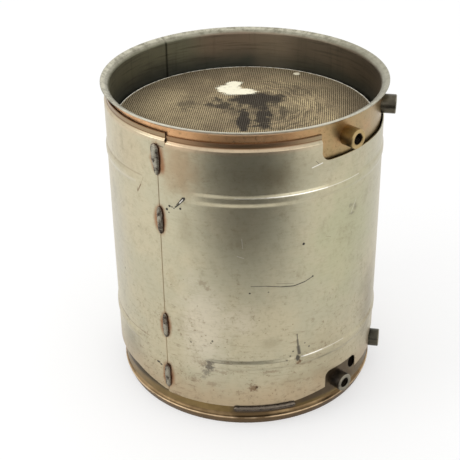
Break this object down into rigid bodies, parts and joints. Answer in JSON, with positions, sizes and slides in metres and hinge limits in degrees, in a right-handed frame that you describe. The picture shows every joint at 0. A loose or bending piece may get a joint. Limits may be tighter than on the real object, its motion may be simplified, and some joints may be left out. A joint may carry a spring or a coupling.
{
  "type": "diesel particulate filter",
  "caption": "Round steel can holding a plugged ceramic honeycomb filter, with flared clamp lips, threaded sensor bosses and a welded half-shell heat shield.",
  "frame": {"origin": "on the can's axis, at the lower face of the outlet lip", "axes": "+Z along the can's axis from outlet to inlet, -Y to the side seen in front, +X to the side with the sensor bosses"},
  "size_m": [0.3383, 0.3308, 0.3839],
  "materials": {
    "can_steel": "heat-tinted stainless sheet",
    "flange_steel": "turned, heat-tinted brown",
    "filter_ceramic": "porous tan honeycomb with soot",
    "mat_fibre": "pressed ceramic fibre",
    "bronzed_boss": "turned, heat-tinted bronze",
    "grey_boss": "turned, dull grey",
    "dark_boss": "turned, dark oxide",
    "shield_steel": "rolled sheet, satin, slightly straw-tinted",
    "weld_metal": "as welded"
  },
  "bodies": {
    "root": {"can": "can_steel", "outlet_flange": "flange_steel", "filter_substrate": "filter_ceramic", "support_mat": "mat_fibre", "inlet_pressure_boss": "bronzed_boss", "inlet_temperature_boss": "grey_boss", "outlet_pressure_boss": "dark_boss", "outlet_temperature_boss": "dark_boss", "heat_shield_right": "shield_steel", "heat_shield_left": "shield_steel", "front_seam_welds": "weld_metal", "rear_seam_welds": "weld_metal", "shield_edge_weld": "weld_metal"}
  },
  "joints": []
}
